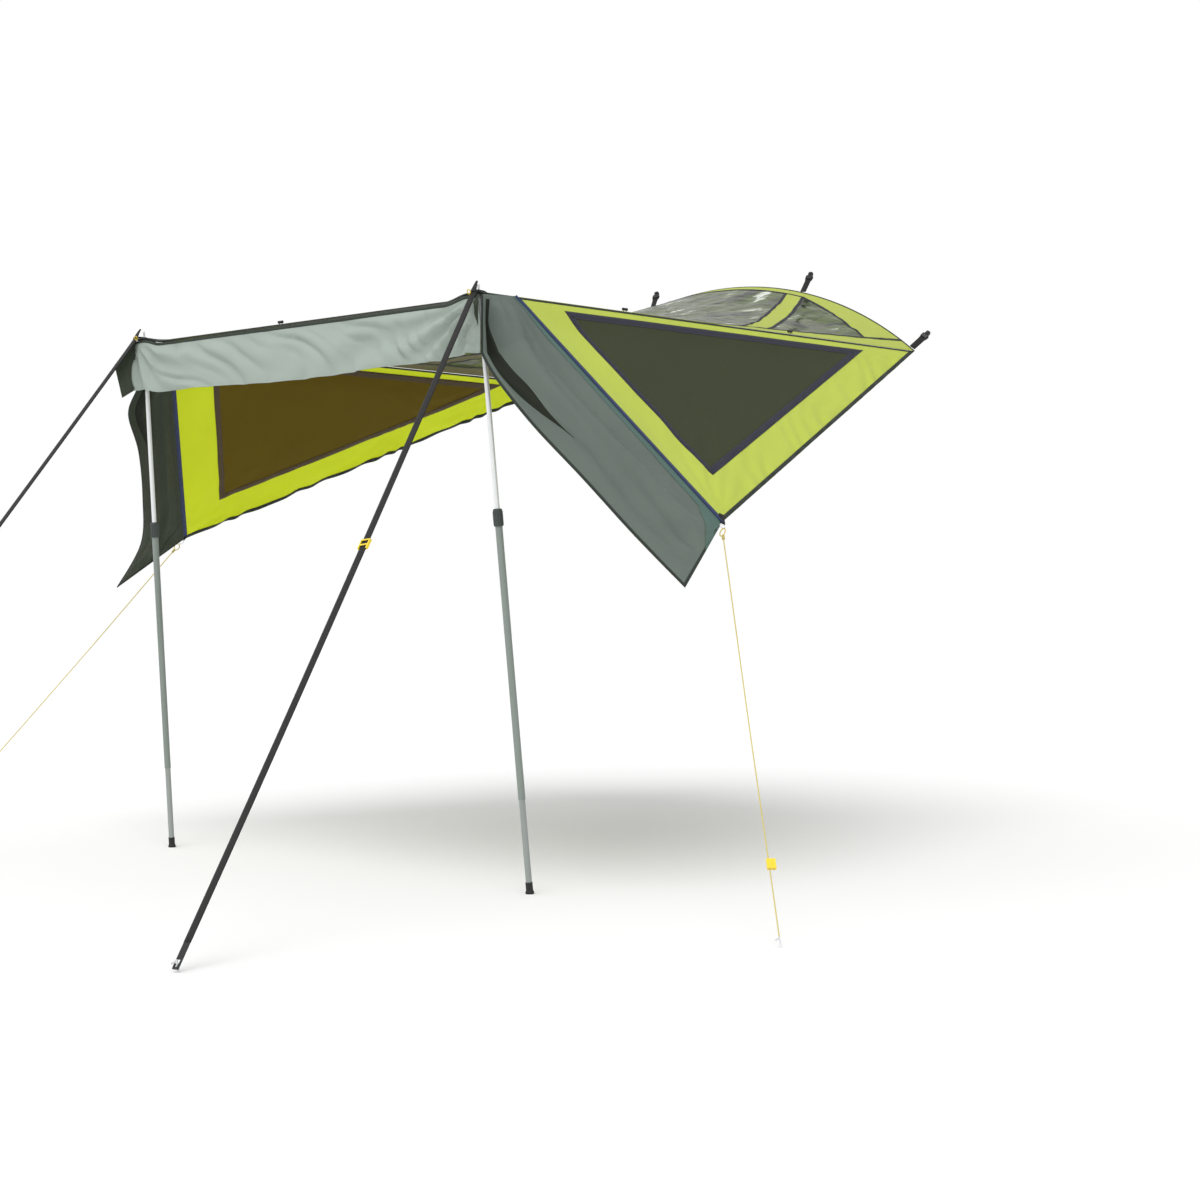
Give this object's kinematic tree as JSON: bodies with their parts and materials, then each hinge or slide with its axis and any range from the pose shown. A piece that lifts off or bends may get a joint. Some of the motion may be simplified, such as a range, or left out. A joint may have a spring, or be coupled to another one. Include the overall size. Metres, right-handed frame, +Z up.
{
  "type": "tent canopy extension",
  "caption": "Tent canopy with clear skylights, two splayed mesh wings, a valance and flaps, on two telescopic poles with storm straps and guys.",
  "frame": {"origin": "middle of the arched rear edge, where the canopy hangs from the tent's beam", "axes": "+Y into the tent, +Z up, +X to the right seen from in front of the canopy"},
  "size_m": [4.242, 3.8813, 2.4824],
  "materials": {
    "lime_cloth": "satin",
    "grey_cloth": "satin",
    "sage_cloth": "satin",
    "mesh_cloth": "matte",
    "clear_film": "gloss",
    "black_webbing": "matte",
    "black_plastic": "satin",
    "yellow_plastic": "satin",
    "light_steel": "satin",
    "dark_steel": "satin",
    "black_rubber": "matte",
    "guy_cord": "matte",
    "storm_webbing": "matte",
    "yellow_elastic": "matte"
  },
  "bodies": {
    "canopy": {"roof_front_band": "grey_cloth", "roof_front_panel": "lime_cloth", "roof_side_band_left": "lime_cloth", "roof_side_band_right": "lime_cloth", "skylight_middle": "clear_film", "skylight_left": "clear_film", "skylight_right": "clear_film", "roof_divider_left": "lime_cloth", "roof_divider_right": "lime_cloth", "roof_rear_band": "lime_cloth", "front_valance": "sage_cloth", "wing_frame_left": "lime_cloth", "wing_frame_right": "lime_cloth", "wing_mesh_left": "mesh_cloth", "wing_mesh_right": "mesh_cloth", "wing_flap_left": "grey_cloth", "wing_flap_right": "grey_cloth", "corner_patch_left": "black_webbing", "corner_patch_right": "black_webbing", "guy_ring_left": "black_webbing", "guy_ring_right": "black_webbing", "rear_straps": "black_webbing", "edge_toggles": "black_plastic"},
    "pole_left": {"pole_spike_left": "light_steel", "upper_tube_left": "light_steel", "tube_expander_left": "black_plastic"},
    "sleeve_left": {"sleeve_tube_left": "dark_steel"},
    "collar_left": {"lock_collar_left": "black_plastic"},
    "lower_left": {"lower_tube_left": "light_steel", "pole_foot_left": "black_rubber"},
    "storm_left": {"strap_head_left": "black_webbing", "storm_strap_left": "storm_webbing", "strap_end_left": "black_plastic", "strap_peg_left": "light_steel"},
    "slider_left": {"strap_slider_left": "yellow_plastic"},
    "guy_left": {"guy_loop_left": "yellow_elastic", "guy_cord_left": "guy_cord", "guy_peg_left": "light_steel"},
    "runner_left": {"guy_runner_left": "yellow_plastic"},
    "pole_right": {"pole_spike_right": "light_steel", "upper_tube_right": "light_steel", "tube_expander_right": "black_plastic"},
    "sleeve_right": {"sleeve_tube_right": "dark_steel"},
    "collar_right": {"lock_collar_right": "black_plastic"},
    "lower_right": {"lower_tube_right": "light_steel", "pole_foot_right": "black_rubber"},
    "storm_right": {"strap_head_right": "black_webbing", "storm_strap_right": "storm_webbing", "strap_end_right": "black_plastic", "strap_peg_right": "light_steel"},
    "slider_right": {"strap_slider_right": "yellow_plastic"},
    "guy_right": {"guy_loop_right": "yellow_elastic", "guy_cord_right": "guy_cord", "guy_peg_right": "light_steel"},
    "runner_right": {"guy_runner_right": "yellow_plastic"},
    "hook_outer_left": {"rear_hook_outer_left": "black_plastic"},
    "hook_inner_left": {"rear_hook_inner_left": "black_plastic"},
    "hook_inner_right": {"rear_hook_inner_right": "black_plastic"},
    "hook_outer_right": {"rear_hook_outer_right": "black_plastic"}
  },
  "joints": [
    {"name": "pole_swing_left", "type": "hinge", "parent": "canopy", "child": "pole_left", "pos_m": [-0.868, -2.388, -0.375], "axis": [1, 0, 0], "range_deg": [-8, 25]},
    {"name": "sleeve_slide_left", "type": "slide", "parent": "pole_left", "child": "sleeve_left", "axis": [0.0309, -0.0891, 0.9955], "range_m": [-0.1, 0.24]},
    {"name": "collar_twist_left", "type": "hinge", "parent": "sleeve_left", "child": "collar_left", "pos_m": [-0.88964, -2.32565, -1.07188], "axis": [0.0309, -0.0891, 0.9955], "range_deg": [-90, 0]},
    {"name": "lower_slide_left", "type": "slide", "parent": "sleeve_left", "child": "lower_left", "axis": [0.0309, -0.0891, 0.9955], "range_m": [-0.06, 0.2]},
    {"name": "strap_swivel_left", "type": "hinge", "parent": "canopy", "child": "storm_left", "pos_m": [-0.868, -2.388, -0.375], "axis": [0, 0, 1], "range_deg": [-12, 40]},
    {"name": "slider_slide_left", "type": "slide", "parent": "storm_left", "child": "slider_left", "axis": [-0.1338, -0.5851, -0.7998], "range_m": [-0.12, 0.12]},
    {"name": "guy_swivel_left", "type": "hinge", "parent": "canopy", "child": "guy_left", "pos_m": [-1.39332, -1.82361, -1.10798], "axis": [0, 0, 1], "range_deg": [-15, 15]},
    {"name": "runner_slide_left", "type": "slide", "parent": "guy_left", "child": "runner_left", "axis": [-0.4831, -0.4527, -0.7494], "range_m": [-0.2, 0.1]},
    {"name": "pole_swing_right", "type": "hinge", "parent": "canopy", "child": "pole_right", "pos_m": [0.868, -2.388, -0.375], "axis": [1, 0, 0], "range_deg": [-8, 25]},
    {"name": "sleeve_slide_right", "type": "slide", "parent": "pole_right", "child": "sleeve_right", "axis": [-0.0309, -0.0891, 0.9955], "range_m": [-0.1, 0.24]},
    {"name": "collar_twist_right", "type": "hinge", "parent": "sleeve_right", "child": "collar_right", "pos_m": [0.88964, -2.32565, -1.07188], "axis": [-0.0309, -0.0891, 0.9955], "range_deg": [-90, 0]},
    {"name": "lower_slide_right", "type": "slide", "parent": "sleeve_right", "child": "lower_right", "axis": [-0.0309, -0.0891, 0.9955], "range_m": [-0.06, 0.2]},
    {"name": "strap_swivel_right", "type": "hinge", "parent": "canopy", "child": "storm_right", "pos_m": [0.868, -2.388, -0.375], "axis": [0, 0, 1], "range_deg": [-40, 12]},
    {"name": "slider_slide_right", "type": "slide", "parent": "storm_right", "child": "slider_right", "axis": [0.1338, -0.5851, -0.7998], "range_m": [-0.12, 0.12]},
    {"name": "guy_swivel_right", "type": "hinge", "parent": "canopy", "child": "guy_right", "pos_m": [1.39332, -1.82361, -1.10798], "axis": [0, 0, 1], "range_deg": [-15, 15]},
    {"name": "runner_slide_right", "type": "slide", "parent": "guy_right", "child": "runner_right", "axis": [0.4831, -0.4527, -0.7494], "range_m": [-0.2, 0.1]},
    {"name": "hook_tilt_outer_left", "type": "hinge", "parent": "canopy", "child": "hook_outer_left", "pos_m": [-0.97003, 0.04003, -0.2889], "axis": [0.8262, 0, 0.5633], "range_deg": [-60, 60]},
    {"name": "hook_tilt_inner_left", "type": "hinge", "parent": "canopy", "child": "hook_inner_left", "pos_m": [-0.415, 0.03401, -0.00023], "axis": [0.9933, 0, 0.1155], "range_deg": [-60, 60]},
    {"name": "hook_tilt_inner_right", "type": "hinge", "parent": "canopy", "child": "hook_inner_right", "pos_m": [0.415, 0.03401, -0.00023], "axis": [0.9933, 0, -0.1155], "range_deg": [-60, 60]},
    {"name": "hook_tilt_outer_right", "type": "hinge", "parent": "canopy", "child": "hook_outer_right", "pos_m": [0.97003, 0.04003, -0.2889], "axis": [0.8262, 0, -0.5633], "range_deg": [-60, 60]}
  ]
}
